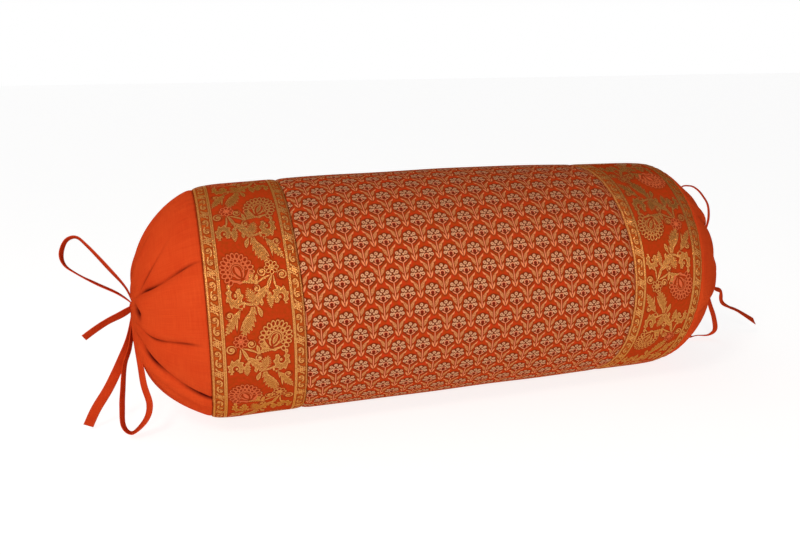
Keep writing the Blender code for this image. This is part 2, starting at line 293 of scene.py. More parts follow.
# Leaves and stems of the vine: start, tip, half width, bend, teeth, fullness
LEAVES = (
    ((-1.0, -31.5), (-14.5, -5.0), 4.4, -0.1, 0.28, 0.40),
    ((-1.8, -37.0), (-7.0, -19.0), 1.9, 0.0, 0.0, 0.0),
    ((0.3, -32.0), (3.8, -21.0), 1.9, -0.3, 0.0, 0.3),
    ((-2.6, -31.0), (-17.4, -10.4), 0.8, 2.2, 0.0, 0.0),
    ((-11.6, -34.5), (-29.3, -8.0), 2.9, 0.1, 0.28, 0.85),
    ((-18.0, -24.0), (-19.6, -10.5), 0.8, 0.4, 0.0, 0.0),
    ((-15.5, 6.5), (-1.0, 13.6), 1.0, -0.9, 0.0, 0.0),
    ((-4.0, 13.6), (12.0, 10.5), 2.0, -1.2, 0.20, 0.0),
    ((-1.6, 13.0), (-2.6, 4.8), 1.5, 0.3, 0.0, 0.0),
    ((3.0, 10.5), (2.0, 0.5), 2.0, -0.3, 0.25, 0.0),
    ((-17.0, 5.5), (-10.5, 20.5), 1.5, -0.4, 0.0, 0.4),
    ((-12.6, 15.5), (1.6, 27.5), 1.7, -0.5, 0.0, 0.0),
    ((-12.5, 18.5), (2.4, 34.8), 2.3, -0.8, 0.24, 0.3),
    ((-11.5, 20.5), (-13.0, 36.9), 2.8, 0.2, 0.24, 0.2),
    ((11.5, -45.2), (13.0, -28.8), 2.8, -0.2, 0.24, 0.2),
    ((-4.6, 28.0), (-4.4, 34.5), 1.5, 0.2, 0.0, 0.2),
    ((2.8, 34.4), (6.2, 17.5), 4.0, -0.3, 0.34, 0.3),
    ((-1.0, 33.3), (14.5, 29.0), 1.1, 1.4, 0.0, 0.0),
    ((10.6, 28.5), (12.8, 38.5), 0.9, 0.4, 0.0, 0.0),
    ((-17.4, 7.0), (-19.5, 21.5), 0.8, -1.0, 0.0, 0.0),
)
# Curls: place, radius, hand, start
CURLS = (
    ((-7.6, 3.4), 3.9, 1.0, 0.45),
    ((-25.6, 7.6), 4.5, -1.0, 0.1),
    ((-1.3, 18.2), 3.3, -1.0, 0.4),
    ((-24.8, -25.0), 3.6, -1.0, 0.9),
)
# Leaves that curl over: place, turn, size, hand
SCROLLS = (
    ((-22.4, 27.6), 8.0, (7.2, 8.6), 1.0),
    ((19.2, 23.4), 188.0, (7.4, 10.4), 1.0),
)

# Petals at one side of a fan flower's foot: start, tip, half width, bend
FOOT_PETALS = (
    ((2.2, -9.5), (11.0, -3.6), 0.95, -1.6),
    ((1.0, -10.5), (6.5, -8.8), 1.0, -1.2),
    ((1.2, -8.0), (5.2, -1.2), 0.75, -1.4),
)

# Sprigs of the panel, in millimetres: the repeat, then one side's petals as places and radii, and its leaves
COLUMN = 24.0
REPEAT = 35.4
COLUMN_LEAN = 0.030
ROW_LEAN = -0.019
SPRIG_LOW = -23.4
SPRIG_EYE = (0.0, -0.3)
PETALS = (
    ((0.0, 7.0), 1.62),
    ((4.3, 5.3), 1.65),
    ((5.4, 1.0), 1.65),
    ((1.8, 4.0), 1.00),
    ((3.1, 1.7), 1.00),
)
BLADES = (
    ((1.2, -14.6), (5.4, -6.2), 1.15),
    ((0.3, -21.8), (3.1, -14.7), 0.85),
)
GROUND_WAVE = 2.45

# Lamps: name, place, size, energy
LAMPS = (
    ("key", (-0.75, -0.80, 1.15), 0.30, 5.5),
    ("front", (-0.50, -1.50, 0.80), 0.30, 8.3),
)
LAMP_COLOUR = (1.0, 0.93, 0.82)
WHITE = (1.0, 1.0, 1.0, 1.0)
SKY_LEFT = (0.80, 0.80, 0.80, 1.0)
SKY_RIGHT = (0.10, 0.09, 0.09, 1.0)
SKY_SOFT = 0.6
HORIZON = 0.16           # how high the sky is white, as the rise of a direction
HORIZON_SOFT = 0.14
FLOOR_REACH = 6.0
FLOOR_GREY = (0.30, 0.30, 0.30, 1.0)
FLOOR_GLOW = 0.80

# Camera
AZIMUTH = 16.9
ELEVATION = 16.89
DISTANCE = 0.876
TARGET = (-0.0435, 0.0, 0.124)
LENS = 36.19
SENSOR = 36.0

EXPOSED = 0.78           # share of a colour that is kept, because the light is brighter than white paper


def paint(red, green, blue):
    """A colour for the shader from its 0 to 255 values on a screen."""
    shares = np.array((red, green, blue)) / 255.0
    linear = np.where(shares > 0.04045, ((shares + 0.055) / 1.055) ** 2.4, shares / 12.92)
    return (*(EXPOSED * linear).tolist(), 1.0)


# Borders
GROUND = paint(198, 60, 22)
GROUND_DEEP = paint(176, 62, 18)
# Painted shadow of the raised thread, a dark line round every figure
FIGURE_SHADOW = paint(122, 36, 10)
GOLD = paint(234, 166, 90)
GOLD_DEEP = paint(182, 98, 43)
GOLD_RIM = paint(255, 176, 100)
CORAL = paint(232, 108, 66)
SPOT = paint(150, 46, 18)
STRIP = paint(192, 94, 32)
GOLD_METAL = 0.80
EDGE = 0.16              # softness of a figure's edge, in millimetres
# Panel
PANEL_GROUND = paint(210, 58, 26)
PANEL_DEEP = paint(178, 66, 18)
PANEL_SHADE = paint(134, 46, 12)
GAP_COLOUR = paint(112, 40, 14)
LEAF = paint(196, 110, 62)
LEAF_LIGHT = paint(238, 160, 104)
TIP = paint(255, 156, 104)
STEM = paint(255, 156, 112)
PETAL = paint(168, 98, 58)
PETAL_LIGHT = paint(242, 180, 136)
CORE = paint(128, 30, 16)
SILK_METAL = 0.42
SPRIG_EDGE = 0.2
# Ends and ties
PLAIN = paint(246, 94, 42)
PLAIN_DEEP = paint(208, 52, 20)
PLAIN_SHADE = paint(88, 14, 12)
TIE = paint(238, 80, 34)
TIE_DEEP = paint(180, 42, 18)
STITCH = paint(240, 110, 60)
# Low gloss keeps the cloths' slanting sides from going pale
BROCADE_GLOSS = {"Specular IOR Level": 0.0, "Specular Tint": (0.7, 0.42, 0.25, 1.0)}
PLAIN_GLOSS = {"Specular IOR Level": 0.0}


def from_join(arc):
    """Place on a barrel cloth, in millimetres from the join, of an arc from the top towards the front."""
    return arc + np.radians(360.0 - JOIN_AT) * RADIUS / MM


SPRIG_AT = (166.7, from_join(127.8))


def ease(value):
    """Smooth step from 0 to 1."""
    share = np.clip(value, 0.0, 1.0)
    return share * share * (3.0 - 2.0 * share)


def aim(thing, place, ahead):
    """Put a camera or a lamp at a place in the scene, turned to look along a direction."""
    bpy.context.scene.collection.objects.link(thing)
    thing.location = place
    thing.rotation_mode = "QUATERNION"
    thing.rotation_quaternion = ahead.to_track_quat("-Z", "Y")


def make_camera():
    """A camera at the photograph's angle: it looks along a direction given by its azimuth and elevation."""
    azimuth, elevation = np.radians(AZIMUTH), np.radians(ELEVATION)
    level = np.cos(elevation)
    ahead = Vector((np.sin(azimuth) * level, np.cos(azimuth) * level, -np.sin(elevation)))
    data = bpy.data.cameras.new("camera")
    data.lens = LENS
    data.sensor_width = SENSOR
    data.clip_start = 0.05
    camera = bpy.data.objects.new("camera", data)
    aim(camera, Vector(TARGET) - DISTANCE * ahead, ahead)
    bpy.context.scene.camera = camera


def closed_grid(name, points, run, around, wrap=False):
    """A closed mesh from rows of points that each go once round.

    Its UV map is run and around, in metres for the same rows with one more place round. With wrap the last
    row joins the first, and run has one more row. Without it a fan to the middle of the first and of the last
    row closes the ends. Rows run so that the faces point outwards.
    """
    places = np.stack(np.broadcast_arrays(run, around), axis=-1)
    rows, round_steps = points.shape[:2]
    index = np.arange(rows * round_steps).reshape(rows, round_steps)
    if wrap:
        index = np.vstack([index, index[:1]])
    after = np.roll(index, -1, axis=1)
    quads = np.stack([index[:-1], after[:-1], after[1:], index[1:]], axis=-1).reshape(-1, 4)
    corners = np.stack([places[:-1, :-1], places[:-1, 1:], places[1:, 1:], places[1:, :-1]], axis=2)
    faces = quads.tolist()
    spots = [corners.reshape(-1, 2)]
    vertices = [points.reshape(-1, 3)]
    for last in () if wrap else (False, True):
        row = rows - 1 if last else 0
        here, there = index[row], after[row]
        near, far = places[row, :-1], places[row, 1:]
        if not last:
            here, there, near, far = there, here, far, near
        middle = np.full(round_steps, rows * round_steps + int(last))
        faces += np.stack([here, there, middle], axis=-1).tolist()
        spots.append(np.stack([near, far, 0.5 * (near + far)], axis=1).reshape(-1, 2))
        vertices.append(points[row].mean(axis=0)[None, :])
    mesh = bpy.data.meshes.new(name)
    mesh.from_pydata(np.vstack(vertices).tolist(), [], faces)
    layer = mesh.uv_layers.new(name="cloth")
    layer.data.foreach_set("uv", np.vstack(spots).astype(np.float32).ravel())
    mesh.shade_smooth()
    return mesh


def add_piece(mesh, material, solid):
    """An object at the origin that rides on the bolster and stands for one of its solids."""
    mesh.materials.append(material)
    piece = bpy.data.objects.new(mesh.name, mesh)
    bpy.context.scene.collection.objects.link(piece)
    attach(piece, "root")
    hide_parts(solid)
    return piece


def smooth_route(rows, steps):
    """Points on a smooth curve through the rows of a route, with this many lengths between two rows.

    Between two rows the curve is a cubic. At each row it runs along the line between the row's neighbours.
    """
    rows = np.array(rows, dtype=float)
    padded = np.vstack([2.0 * rows[0] - rows[1], rows, 2.0 * rows[-1] - rows[-2]])[:, None]
    before, start, end, after = padded[:-3], padded[1:-2], padded[2:-1], padded[3:]
    slope = end - before
    bend = 2.0 * before - 5.0 * start + 4.0 * end - after
    twist = 3.0 * start - before - 3.0 * end + after
    share = np.arange(steps)[:, None] / steps
    route = 0.5 * (2.0 * start + slope * share + bend * share**2 + twist * share**3)
    return np.vstack([route.reshape(-1, rows.shape[1]), rows[-1]])


def tape_section():
    """Section of a folded tape, as (across, up) in half widths and half thicknesses, anticlockwise.

    It is flat with a rounded rim, and a line of stitches draws it in a little near each edge.
    """
    out = np.array(TAPE_EDGE)
    up = (1.0 - out**12) ** 0.5 * (1.0 - STITCH_DIP * np.exp(-(((out - STITCH_AT) / STITCH_WIDE) ** 2)))
    quarter = np.stack([out, up], axis=-1)
    top = np.vstack([quarter[::-1], quarter[1:] * (-1.0, 1.0)])
    return np.vstack([top, -top[1:-1]])


def unit(vectors):
    """Vectors of length one."""
    return vectors / np.linalg.norm(vectors, axis=1, keepdims=True)


def carry_tape(name, places, width, half_width, cup, wrap=False):
    """A closed tape: its section is set across a path, along the width direction given for every point.

    half_width is half the tape's width at every point, and cup how far its middle stands out from its edges,
    by a parabola of the distance from the middle.
    """
    if wrap:
        ahead = np.roll(places, -1, axis=0) - np.roll(places, 1, axis=0)
        steps = np.linalg.norm(np.roll(places, -1, axis=0) - places, axis=1)
    else:
        ahead = np.gradient(places, axis=0)
        steps = np.linalg.norm(np.diff(places, axis=0), axis=1)
    upright = np.cross(width, unit(ahead))
    run = np.concatenate([[0.0], np.cumsum(steps)])
    section = tape_section()
    out, up = section[:, 0], section[:, 1]
    lift = 0.5 * TIE_THICK * up + cup[:, None] * (0.4 - out**2)
    points = (
        places[:, None, :]
        + width[:, None, :] * (half_width[:, None, None] * out[:, None])
        + upright[:, None, :] * lift[..., None]
    )
    around = 0.5 * TIE_WIDTH * np.append(out, out[0])
    return closed_grid(name, points, run[:, None], around, wrap)


def tape_width(places, turns, back):
    """Direction across a tape at every point of its path: square to the path and to the back, then turned."""
    ahead = unit(np.gradient(places, axis=0))
    across = unit(np.cross(ahead, back))
    inwards = np.cross(across, ahead)
    return np.cos(turns)[:, None] * across + np.sin(turns)[:, None] * inwards


def make_tape(tie, label, material):
    """One tape of a bow: out of the knot, round its loop, back through the knot and down to its free end."""
    name = f"{tie}_{label}"
    route = smooth_route(ROUTES[name], TAPE_STEPS)
    places, turns = route[:, :3] * MM, np.radians(route[:, 3])
    from_knot = np.linalg.norm(places - np.array(KNOTS[tie]) * MM, axis=1)
    half_width = 0.5 * TIE_WIDTH * (TIE_PINCH + (1.0 - TIE_PINCH) * ease(from_knot / PINCH_RUN))
    width = tape_width(places, turns, np.array(BACK[tie]))
    cup = TAPE_CUP * np.sin(from_knot / CUP_RUN + 1.0)
    mesh = carry_tape(name, places, width, half_width, cup)
    tape = add_piece(mesh, material, tie)


def make_knot(tie, label, lean, size, material):
    """A short turn of tape round the strands of a knot.

    It is a closed ring, a little flattened, in a plane that leans by an angle. It is widest at two places.
    """
    turn = np.linspace(0.0, TAU, KNOT_STEPS, endpoint=False)
    side = np.sin(turn)
    loop = size * np.stack([0.8 * np.cos(turn), side * np.cos(lean), side * np.sin(lean)], axis=-1)
    ahead = np.roll(loop, -1, axis=0) - np.roll(loop, 1, axis=0)
    width = unit(np.cross(ahead, loop))
    half_width = KNOT_BAND * (1.0 + 0.25 * np.cos(2.0 * turn + lean))
    places = loop + np.array(KNOTS[tie]) * MM
    name = f"{tie.replace('tie', 'knot')}_{label}"
    mesh = carry_tape(name, places, width, half_width, np.full(KNOT_STEPS, TAPE_CUP), True)
    add_piece(mesh, material, tie)


def crowned_radius(along):
    """Radius at a place along the bolster with its crown alone, which sets how high its middle lies."""
    return RADIUS * (1.0 - CROWN * (along / CROWN_AT) ** 2)


def barrel_radius(along):
    """Radius at a place along the bolster: the crown, shoulders at the ends, and a dip at each seam."""
    radius = crowned_radius(along)
    for seam, side, _face, _rim, shoulder in ENDS.values():
        past = (side * (along - SEAMS[seam][0]) + SHOULDER_RUN) / SHOULDER_RUN
        radius = radius - shoulder * np.maximum(past, 0.0) ** 2
    for station, _forwards, _upwards in SEAMS.values():
        radius = radius - SEAM_DIP * np.exp(-(((along - station) / SEAM_RUN) ** 2))
    return radius


def seam_offset(seam, forward, high):
    """How far a leaning seam moves along the bolster at a point so far in front of and above its middle."""
    _station, forwards, upwards = SEAMS[seam]
    return forwards * forward + upwards * high


def turn_from(angle, line):
    """Angle from a line to another, between minus and plus half a turn."""
    return (angle - line + np.pi) % TAU - np.pi


def pucker(angle, away):
    """How far the cloth is drawn in beside a seam: ripples round the bolster that die away from the seam."""
    ripple = np.sin(PUCKERS * angle + 1.4 * np.sin(5.0 * angle + 0.7))
    ripple = ripple + 0.6 * np.sin(0.43 * PUCKERS * angle + 2.0)
    drawn = PUCKER_DEPTH * (1.0 + ripple) * np.exp(-away / PUCKER_RUN)
    return drawn + STITCH_DEPTH * np.exp(-away / STITCH_RUN)


def barrel_unevenness(along, angle):
    """Height of the filling's soft unevenness: a few long waves along the bolster and round it."""
    waves = np.sin(along / 0.031 + 2.0 * np.sin(angle)) * np.cos(3.0 * angle + 0.8)
    waves = waves + 0.7 * np.sin(along / 0.019 - 4.0 * angle + 1.0)
    return UNEVEN * (waves + 0.5 * np.cos(along / 0.047 + 7.0 * angle))


def pulled_by_gathers(end, angle, away):
    """How far the longest gathers of an end still draw in the border past the seam."""
    depth = np.zeros(np.broadcast(angle, away).shape)
    for _at_knot, _midway, at_seam, _start, reach, deep, _wide, _steep in GATHERS[end]:
        if reach >= PULLING_REACH:
            near = np.exp(-((turn_from(angle, np.radians(at_seam)) * RADIUS / PULL_WIDTH) ** 2))
            depth = depth + PULL_SHARE * deep * MM * near * np.exp(-away / PULL_RUN)
    return depth


def settle(along, forward, high):
    """Points of the bolster. Nothing goes below the floor."""
    return np.stack([along, -forward, np.maximum(high, 0.0)], axis=-1)


def make_barrel_piece(name, material):
    """A length of the barrel between two seams, closed by a flat face at each.

    Its radius is the barrel's less the puckers at its seams. Its UV map runs in metres from the left seam and
    from the join, which is the lengthwise seam on the hidden underside.
    """
    left, right, steps, slot = BARREL[name]
    span = SEAMS[right][0] - SEAMS[left][0]
    edge = np.cumsum(SEAM_STEPS) / span
    inner = np.linspace(edge[-1], 1.0 - edge[-1], steps + 1)
    shares = np.concatenate([[0.0], edge[:-1], inner, 1.0 - edge[:-1][::-1], [1.0]])
    reach = np.ones_like(shares)
    for share in FACE_RINGS:
        shares = np.concatenate([[0.0], shares, [1.0]])
        reach = np.concatenate([[share], reach, [share]])
    share, reach = shares[:, None], reach[:, None]
    angle = (np.radians(JOIN_AT) + np.linspace(0.0, TAU, ROUND_STEPS + 1))[None, :]
    along = SEAMS[left][0] + span * share
    radius = barrel_radius(along) + barrel_unevenness(along, angle)
    for end, (seam, _side, _face, _rim, _shoulder) in ENDS.items():
        if seam in (left, right):
            radius = radius - pulled_by_gathers(end, angle, np.abs(along - SEAMS[seam][0]))
    from_seam = np.minimum(share, 1.0 - share) * span
    join = STITCH_DEPTH * np.exp(-np.abs(turn_from(angle, np.radians(JOIN_AT))) * RADIUS / STITCH_RUN)
    radius = (radius - pucker(angle, from_seam) - join) * reach
    middle = crowned_radius(along) - PRESSED
    forward = radius * np.sin(angle)
    up = np.maximum(radius * np.cos(angle), -middle)
    lean_left = seam_offset(left, forward, up) + 0.5 * GAP
    lean_right = seam_offset(right, forward, up) - 0.5 * GAP
    points = settle(along + lean_left * (1.0 - share) + lean_right * share, forward, middle + up)
    run_round = (angle - np.radians(JOIN_AT)) * RADIUS
    mesh = closed_grid(f"cover_{name}", points[:, :-1], span * share, run_round)
    piece = add_piece(mesh, material, name)


def gather_depth(end, share, angle, rim):
    """How far gathers draw in the cloth of an end, and painted shade in their creases, from 0 to 1.

    A gather follows an angle that shifts from the knot to the seam. Its section is a quarter of an ellipse on
    each side of that line, short on its steep side and long on the other. It fades out at the knot and at its
    reach.
    """
    depth = np.zeros_like(share * angle)
    painted_shade = np.zeros_like(depth)
    for at_knot, midway, at_seam, start, reach, deep, wide, steep in GATHERS[end]:
        line = np.polyval(np.polyfit((0.0, MIDWAY, 1.0), (at_knot, midway, at_seam), 2), share)
        turn = turn_from(angle, np.radians(line + WAVER * np.sin(WAVER_RATE * share + at_knot)))
        side = np.where(turn * steep > 0.0, STEEP_SIDE, EASY_SIDE)
        away = np.abs(turn) * share * rim
        near = np.maximum(1.0 - away / (wide * MM * side), 0.0)
        fade = ease((share - start) / GATHER_START) * ease((reach - share) / GATHER_FADE)
        rolled = np.exp(-((away / (wide * MM) - ROLL_AT) ** 2)) * (turn * steep > 0.0)
        depth += deep * MM * fade * (1.0 - np.sqrt(1.0 - near**2) - ROLL * rolled)
        spots = 0.6 + 0.4 * np.cos(CREASE_RATE * (share - CREASE_SPOT))
        dark = fade * spots * min(deep / CREASE_DEEP, 1.0)
        painted_shade = np.maximum(painted_shade, dark * np.maximum(1.0 - away / CREASE_WIDTH, 0.0) ** 2)
    return depth, painted_shade


def mouth_depth(share, angle, rim):
    """How far a point lies in the mouth of the tape's channel, from 0 to 1: a short slit that leans."""
    at_share, at_angle, lean = MOUTH_AT
    out = (share - at_share) * rim
    aside = turn_from(angle, np.radians(at_angle)) * at_share * rim
    lean = np.radians(lean)
    along = out * np.cos(lean) + aside * np.sin(lean)
    across = aside * np.cos(lean) - out * np.sin(lean)
    return np.exp(-((along / MOUTH_SIZE[0]) ** 2) - (across / MOUTH_SIZE[1]) ** 2)


def pleat_depth(share, angle):
    """Small pleats round the knot: uneven ripples, deepest near the hem and gone halfway to the seam."""
    ripple = np.sin(PLEATS * angle + 1.8 * np.sin(3.0 * angle + 1.0))
    ripple = ripple + 0.5 * np.sin(0.6 * PLEATS * angle + 0.5)
    swell = np.exp(-(((share - PLEAT_AT) / np.where(share > PLEAT_AT, PLEAT_OUT, PLEAT_IN)) ** 2))
    return PLEAT_DEPTH * (0.75 - 0.25 * np.cos(angle)) * ripple * swell


def make_end(name, material):
    """A drawn end: its face falls from the middle to the seam as depth * (1 - share^face)^(1/rim).

    The hem is drawn in to a hollow round the knot. The gathers and pleats draw the cloth in towards the
    middle of the seam's plane, which closes the end. Its UV map runs in metres from the seam and round it, as
    the cloth was cut, so the threads crowd together towards the knot. Its attribute holds painted shade: 1
    at the bottoms of the creases and in the mouth of the tape's channel.
    """
    seam, side, face, rim_fullness, _shoulder = ENDS[name]
    station = SEAMS[seam][0]
    rim = barrel_radius(station) - STITCH_DEPTH - PUCKER_DEPTH
    middle = crowned_radius(station) - PRESSED
    rim_shares = 1.0 - np.cumsum([0.0, *RIM_STEPS])
    inner = np.linspace(rim_shares[-1], HEM_SHARE, END_RINGS)
    share = np.concatenate([rim_shares, inner[1:]])[:, None]
    angle = np.linspace(0.0, TAU, END_ROUND + 1)[None, :]
    face_power = face[0] + face[1] * np.cos(angle)
    rim_power = np.maximum(rim_fullness[0] + rim_fullness[1] * np.cos(angle), 1.0)
    depth = END_DEPTH * np.maximum(1.0 - share**face_power, 0.0) ** (1.0 / rim_power)
    depth = depth - PIT_DEPTH * np.exp(-((share * rim / PIT_RADIUS) ** 2))
    seam_dip = barrel_radius(station) - pucker(angle, (1.0 - share) * rim)
    forward = share * seam_dip * np.sin(angle)
    up = share * seam_dip * np.cos(angle) + KNOT_RISE * (1.0 - share) ** 2
    from_middle = np.maximum(np.sqrt(depth**2 + forward**2 + up**2), MM)
    gathered, painted_shade = gather_depth(name, share, angle, rim)
    mouth = mouth_depth(share, angle, rim)
    drawn = (gathered + pleat_depth(share, angle) + MOUTH_SIZE[2] * mouth) / from_middle
    forward = forward * (1.0 - drawn)
    up = np.maximum(up * (1.0 - drawn), -middle)
    along = station + side * (depth * (1.0 - drawn) + 0.5 * GAP) + seam_offset(seam, forward, up)
    points = settle(along, forward, middle + up)
    step = np.linalg.norm(np.diff(points, axis=0), axis=-1).mean(axis=1)
    run = np.concatenate([[0.0], np.cumsum(step)])[:, None]
    order = slice(None) if side > 0 else slice(None, None, -1)
    mesh = closed_grid(f"cover_{name}", points[order, :-1], run[order], angle * RADIUS)
    # Painted shade, dark at the bottoms of the creases and in the mouth of the tape's channel
    shade = np.maximum(painted_shade, mouth)[order, :-1]
    shade = np.concatenate([shade.ravel(), shade[0, :1], shade[-1, :1]])
    mesh.attributes.new("painted_shade", "FLOAT", "POINT").data.foreach_set("value", shade.astype(np.float32))
    piece = add_piece(mesh, material, name)


class Signal:
    """An output of a node. Arithmetic on it adds Math nodes to its tree."""

    def __init__(self, tree, socket=None):
        self.tree = tree
        self.socket = socket

    def make(self, kind, settings, values, output=0):
        """Add a shader node of a kind. Its settings come first, then the values or links of its inputs."""
        node = self.tree.nodes.new(f"ShaderNode{kind}")
        for name, setting in settings.items():
            setattr(node, name, setting)
        self.feed(node, values)
        return Signal(self.tree, node.outputs[output])

    def feed(self, node, values):
        """Set or link the inputs of a node."""
        for name, value in values.items():
            if isinstance(value, Signal):
                self.tree.links.new(value.socket, node.inputs[name])
            else:
                node.inputs[name].default_value = value

    def math(self, operation, *values):
        """Add a Math node with this as its first value."""
        return self.make("Math", {"operation": operation}, dict(enumerate((self, *values))))

    def __rsub__(self, other):
        return self.make("Math", {"operation": "SUBTRACT"}, {0: other, 1: self})

    __add__ = __radd__ = partialmethod(math, "ADD")
    __sub__ = partialmethod(math, "SUBTRACT")
    __mul__ = __rmul__ = partialmethod(math, "MULTIPLY")
    __truediv__ = partialmethod(math, "DIVIDE")
    least = partialmethod(math, "MINIMUM")
    most = partialmethod(math, "MAXIMUM")
    magnitude = partialmethod(math, "ABSOLUTE")
    sign = partialmethod(math, "SIGN")
    floor = partialmethod(math, "FLOOR")
    rounded = partialmethod(math, "ROUND")
    sine = partialmethod(math, "SINE")
    cosine = partialmethod(math, "COSINE")

    def wrapped(self, length):
        """What is left above a whole number of lengths."""
        return self.math("WRAP", length, 0.0)

    def zigzag(self):
        """Distance to the nearest whole number."""
        return self.math("PINGPONG", 0.5)

    def angle(self, x):
        """Angle of the direction (x, this)."""
        return self.math("ARCTAN2", x)

    def inside(self, soft=0.12):
        """1 where this is positive and 0 where it is negative, with an edge this soft on either side."""
        settings = {"interpolation_type": "SMOOTHSTEP"}
        return self.make("MapRange", settings, {0: self, 1: -soft, 2: soft, 3: 0.0, 4: 1.0})

    def mixed(self, low, high):
        """A colour between two, with this as the share of the second."""
        return self.make("Mix", {"data_type": "RGBA"}, {0: self, 6: low, 7: high}, 2)

    def point(self, y):
        """A point with this as its x."""
        return self.make("CombineXYZ", {}, {0: self, 1: y})

    def along(self, way):
        """How far a point lies along a direction."""
        return self.make("VectorMath", {"operation": "DOT_PRODUCT"}, {0: self, 1: way}, 1)

    def split(self):
        """The x and y of a point. Separate XYZ would keep its unused z on the renderer's short stack."""
        return self.along((1.0, 0.0, 0.0)), self.along((0.0, 1.0, 0.0))

    def away(self, place=(0.0, 0.0)):
        """Distance of a point from a place, or from the middle."""
        return self.make("VectorMath", {"operation": "DISTANCE"}, {0: self, 1: (*place, 0.0)}, 1)

    def placed(self, place, turn=0.0, size=(1.0, 1.0)):
        """A point as seen from a place that is turned by an angle in degrees and has its own units."""
        values = {0: self, 1: (*place, 0.0), 2: (0.0, 0.0, np.radians(turn)), 3: (*size, 1.0)}
        return self.make("Mapping", {"vector_type": "TEXTURE"}, values)

    def noise(self, size, detail=2.0, rough=0.5):
        """Soft noise from 0 to 1 at a point, with spots of about this size along x, y and z."""
        stretched = self.make("Mapping", {"vector_type": "TEXTURE"}, {0: self, 3: size})
        values = {"Vector": stretched, "Scale": 1.0, "Detail": detail, "Roughness": rough}
        return self.make("TexNoise", {}, values)


def joined(point, shape, rows):
    """Inside any of the shapes that the rows of a table give."""
    return reduce(Signal.most, (shape(point, *row) for row in rows))


def disc(point, place, radius):
    """Inside a disc."""
    return radius - point.away(place)


def ring(point, place, radius, half):
    """Inside a ring."""
    return half - (point.away(place) - radius).magnitude()


def leaf(point, start, tip, half_width, bend=0.0, teeth=0.0, full=0.0):
    """Inside a leaf: |x - bend (y^2 - 1/2)| < (1 - y^2) (1 + full y) + teeth sin(21 y - 7 |x|).

    y runs from -1 at its start to 1 at its tip, and x is in half widths.
    """
    run = np.subtract(tip, start)
    middle = tuple(0.5 * np.add(start, tip))
    turn = np.degrees(np.arctan2(-run[0], run[1]))
    x, y = point.placed(middle, turn, (half_width, 0.5 * np.hypot(*run))).split()
    square = y * y
    side = (x - bend * square + bend * 0.5).magnitude()
    edge = 1.0 - square
    if full:
        edge = edge * (1.0 + full * y).most(0.2)
    edge = edge - side
    if teeth:
        edge = edge + teeth * (y * 21.0 - side * 7.0).sine()
    return edge * half_width


def curl(point, place, radius, hand, start, pitch=2.6, half=0.62):
    """Inside a spiral line with a bead: its distance from the middle grows by a pitch on each turn."""
    x, y = point.placed(place).split()
    far = point.away(place)
    turns = far / pitch + y.angle(x) * (hand / TAU) + start
    return (half - turns.zigzag() * pitch).most(radius * 0.30 - far).least(radius - far)


def wheel(local, spacing, last, radius, size):
    """How far out of its nearest petal a point is, 1 on the rim.

    The petals lie at even angles round a middle, with this many at each side of the first, or all round.
    """
    x, y = local.split()
    far = local.away()
    around = x.angle(y)
    number = (around / spacing).rounded()
    if last:
        number = number.most(-last).least(last)
    aside = around - number * spacing
    petal = (far * aside.sine()).point(far * aside.cosine())
    return petal.placed((0.0, radius), 0.0, size).away()


def rosette(point, place, radius, petals, half=0.36):
    """A round flower: the outlines of its petals with its eye, and the dark insides of the petals."""
    local = point.placed(place)
    rim = wheel(local, TAU / petals, 0, radius * 0.66, (radius * 0.26, radius * 0.34))
    line = half - (rim - 0.95).magnitude() * radius * 0.28
    eye = radius * 0.24 - local.away()
    dark = (0.55 - rim) * radius * 0.28
    return line.most(eye), dark


def fan(point, place, turn, size):
    """A fan flower: two rows of looped petals, two ribs, a drop and petals that curl at its foot."""
    local = point.placed(place, turn, size)
    rim = wheel(local, 0.300, 7.0, 12.9, (1.75, 2.75))
    inner = wheel(local, 0.43, 4.0, 8.6, (1.75, 1.65))
    line = 0.40 - (rim - 0.93).magnitude() * 2.0
    line = line.most(0.36 - (inner - 0.93).magnitude() * 1.7)
    x, y = local.split()
    far = local.away()
    above = y + 2.0 + far * 0.25
    line = line.most((0.42 - (far - 6.2).magnitude()).least(above))
    line = line.most((0.34 - (far - 4.6).magnitude()).least(above))
    line = line.most(leaf(local, (0.0, -6.0), (0.0, 4.2), 2.0))
    line = line.most(joined(x.magnitude().point(y), leaf, FOOT_PETALS))
    dark = (0.58 - rim) * 2.0
    dark = dark.most((0.5 - inner) * 1.5)
    return line, dark


def scroll_leaf(point, place, turn, size, hand):
    """A leaf that curls over: a thick open ring with lobes, a bead on one of its ends and one inside."""
    local = point.placed(place, turn, (hand * size[0], size[1]))
    x, y = local.split()
    far = local.away()
    lobes = 0.29 - 0.10 * y + 0.24 * (x.angle(y) * 9.0 + far * 5.0).sine() * (far - 0.55).most(0.0)
    body = lobes - (far - 0.66).magnitude()
    body = body.least(local.away((0.12, 0.80)) - 0.46)
    body = body.most(0.21 - local.away((-0.42, 0.92))).most(0.16 - local.away((0.12, 0.04)))
    return body * size[0]


def vine(across, down):
    """The field of a border: a swaying stem with gold and coral flowers, mirrored at each half repeat.

    Gives the insides of its lines, of its flowers and of their dark spots.
    """
    step = (down + CELL_TOP) / HALF_REPEAT
    number = step.floor()
    hand = 1.0 - 2.0 * number.wrapped(2.0)
    x = across * hand
    y = (step - number) * HALF_REPEAT - CELL_TOP
    point = x.point(y)
    lines = joined(point, leaf, LEAVES).most(joined(point, curl, CURLS))
    lines = lines.most(joined(point, scroll_leaf, SCROLLS))
    flower, flower_dark = rosette(point, (-16.7, 0.0), 6.5, 8)
    big, big_dark = fan(point, (14.4, 0.0), 205.0, (0.95, 1.12))
    return lines, flower.most(big), flower_dark.most(big_dark)


